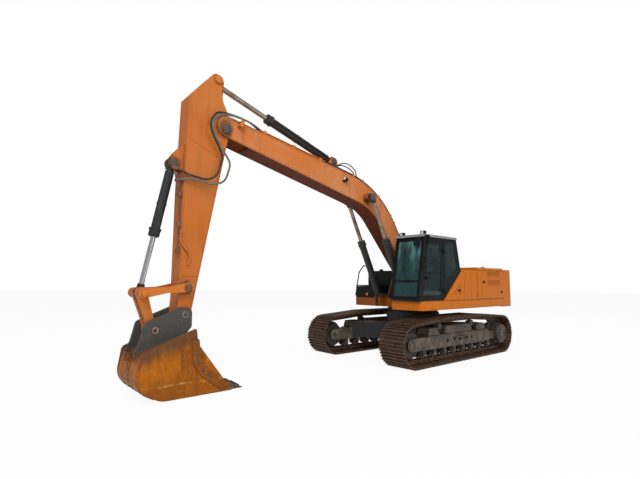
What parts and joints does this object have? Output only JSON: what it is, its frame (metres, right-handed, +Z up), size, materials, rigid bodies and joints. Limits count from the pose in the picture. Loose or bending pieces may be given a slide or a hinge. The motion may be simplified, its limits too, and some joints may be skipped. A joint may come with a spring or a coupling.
{
  "type": "crawler excavator",
  "caption": "Crawler excavator with a curved boom, stick and toothed bucket on a swinging upper structure, a left-hand cab and two shoe tracks.",
  "frame": {"origin": "on the swing axis at ground level, midway between the tracks", "axes": "+X forward along the boom as it parks, +Y to the machine's left (the cab's side), +Z up"},
  "size_m": [11.1176, 3.3, 5.9874],
  "materials": {
    "orange_paint": "satin, weathered",
    "charcoal_paint": "satin",
    "dusty_iron": "matt, dusty",
    "bucket_steel": "worn paint",
    "tooth_steel": "worn",
    "rod_chrome": "polished",
    "window_glass": "tinted",
    "seat_fabric": "matt",
    "console_plastic": "matt",
    "hose_rubber": "matt",
    "engine_alloy": "matt paint"
  },
  "bodies": {
    "undercarriage": {"carbody": "charcoal_paint", "slew_ring": "charcoal_paint", "track_frame_left": "dusty_iron", "track_frame_right": "dusty_iron", "track_left": "dusty_iron", "track_right": "dusty_iron", "front_idlers": "dusty_iron", "drive_sprockets": "dusty_iron", "track_rollers": "dusty_iron", "carrier_rollers": "dusty_iron"},
    "upper": {"revolving_frame": "orange_paint", "counterweight": "orange_paint", "lift_eyes": "orange_paint", "engine": "engine_alloy", "fuel_tank": "orange_paint", "hydraulic_tank": "orange_paint", "left_panel": "orange_paint", "deck_cover": "orange_paint", "tool_box": "charcoal_paint", "cab_frame": "charcoal_paint", "cab_roof": "orange_paint", "cab_glass": "window_glass", "operator_seat": "seat_fabric", "control_consoles": "console_plastic", "handrails": "charcoal_paint", "work_lamps": "charcoal_paint", "mirrors": "charcoal_paint"},
    "cab_door": {"cab_door": "charcoal_paint", "door_glass": "window_glass"},
    "engine_hood": {"engine_hood": "orange_paint"},
    "left_side_door": {"left_side_door": "orange_paint"},
    "right_pump_door": {"right_pump_door": "orange_paint"},
    "tool_box_lid": {"tool_box_lid": "charcoal_paint"},
    "boom": {"boom": "orange_paint", "boom_lines": "charcoal_paint", "stick_hose_outer": "hose_rubber", "stick_hose_inner": "hose_rubber"},
    "stick": {"stick": "orange_paint", "stick_lines": "charcoal_paint"},
    "bucket": {"bucket": "bucket_steel", "bucket_teeth": "tooth_steel"},
    "boom_barrels": {"boom_cylinder_barrels": "charcoal_paint"},
    "boom_rods": {"boom_cylinder_rods": "rod_chrome"},
    "arm_barrel": {"arm_cylinder_barrel": "charcoal_paint"},
    "arm_rod": {"arm_cylinder_rod": "rod_chrome"},
    "bucket_barrel": {"bucket_cylinder_barrel": "charcoal_paint"},
    "bucket_rod": {"bucket_cylinder_rod": "rod_chrome"},
    "idler_links": {"idler_links": "orange_paint"},
    "power_link": {"power_link": "orange_paint"}
  },
  "joints": [
    {"name": "swing", "type": "hinge", "parent": "undercarriage", "child": "upper", "pos_m": [0, 0, 1.2], "axis": [0, 0, 1], "continuous": true},
    {"name": "boom_lift", "type": "hinge", "parent": "upper", "child": "boom", "pos_m": [0.25, 0, 2.05], "axis": [0, -1, 0], "range_deg": [-60, 36]},
    {"name": "stick_swing", "type": "hinge", "parent": "boom", "child": "stick", "pos_m": [6.11712, 0, 4.91666], "axis": [0, -1, 0], "range_deg": [-42, 77], "deforming": ["stick_hose_outer", "stick_hose_inner"]},
    {"name": "bucket_curl", "type": "hinge", "parent": "stick", "child": "bucket", "pos_m": [6.8026, 0, 1.35706], "axis": [0, -1, 0], "range_deg": [-90, 75]},
    {"name": "boom_barrel_pivot", "type": "hinge", "parent": "upper", "child": "boom_barrels", "pos_m": [0.9, 0, 1.5], "axis": [0, -1, 0], "range_deg": [-59.3, 35.66]},
    {"name": "boom_rod_slide", "type": "slide", "parent": "boom_barrels", "child": "boom_rods", "axis": [0.4334, 0, 0.9012], "range_m": [-0.8293, 0.4984]},
    {"name": "arm_barrel_pivot", "type": "hinge", "parent": "boom", "child": "arm_barrel", "pos_m": [3.15165, 0, 4.88122], "axis": [0, -1, 0], "range_deg": [-2.38, 4.2]},
    {"name": "arm_rod_slide", "type": "slide", "parent": "arm_barrel", "child": "arm_rod", "axis": [0.9527, 0, 0.3038], "range_m": [-1.0771, 0.5884]},
    {"name": "bucket_barrel_pivot", "type": "hinge", "parent": "stick", "child": "bucket_barrel", "pos_m": [7.0649, 0, 4.08284], "axis": [0, -1, 0], "range_deg": [-6.59, 5.53]},
    {"name": "bucket_rod_slide", "type": "slide", "parent": "bucket_barrel", "child": "bucket_rod", "axis": [0.1943, 0, -0.9809], "range_m": [-0.5256, 0.6303]},
    {"name": "idler_pivot", "type": "hinge", "parent": "stick", "child": "idler_links", "pos_m": [6.78601, 0, 1.83454], "axis": [0, -1, 0], "range_deg": [-71.3, 59.45]},
    {"name": "power_link_pivot", "type": "hinge", "parent": "idler_links", "child": "power_link", "pos_m": [7.5276, 0, 1.74706], "axis": [0, -1, 0], "range_deg": [-40.33, 48.35]},
    {"name": "cab_door_hinge", "type": "hinge", "parent": "upper", "child": "cab_door", "pos_m": [0.636, 1.494, 2.2], "axis": [0, 0, 1], "range_deg": [0, 165]},
    {"name": "engine_hood_hinge", "type": "hinge", "parent": "upper", "child": "engine_hood", "pos_m": [-0.95, 0, 2.32], "axis": [0, 1, 0], "range_deg": [0, 65]},
    {"name": "left_side_door_hinge", "type": "hinge", "parent": "upper", "child": "left_side_door", "pos_m": [-0.95, 1.49, 1.9], "axis": [0, 0, -1], "range_deg": [0, 110]},
    {"name": "right_pump_door_hinge", "type": "hinge", "parent": "upper", "child": "right_pump_door", "pos_m": [-0.95, -1.49, 1.9], "axis": [0, 0, 1], "range_deg": [0, 110]},
    {"name": "tool_box_lid_hinge", "type": "hinge", "parent": "upper", "child": "tool_box_lid", "pos_m": [0.264, -1.03, 1.86], "axis": [0, -1, 0], "range_deg": [0, 80]}
  ],
  "couplings": [
    {"joint": "boom_barrel_pivot", "follows": "boom_lift", "ratio": 0.985},
    {"joint": "boom_rod_slide", "follows": "boom_lift", "m_per_rad": 0.79},
    {"joint": "arm_barrel_pivot", "follows": "stick_swing", "ratio": 0.052},
    {"joint": "arm_rod_slide", "follows": "stick_swing", "m_per_rad": -0.8},
    {"joint": "idler_pivot", "follows": "bucket_curl", "ratio": 0.79},
    {"joint": "power_link_pivot", "follows": "bucket_curl", "ratio": -0.535},
    {"joint": "bucket_barrel_pivot", "follows": "bucket_curl", "ratio": 0.071},
    {"joint": "bucket_rod_slide", "follows": "bucket_curl", "m_per_rad": -0.4}
  ]
}
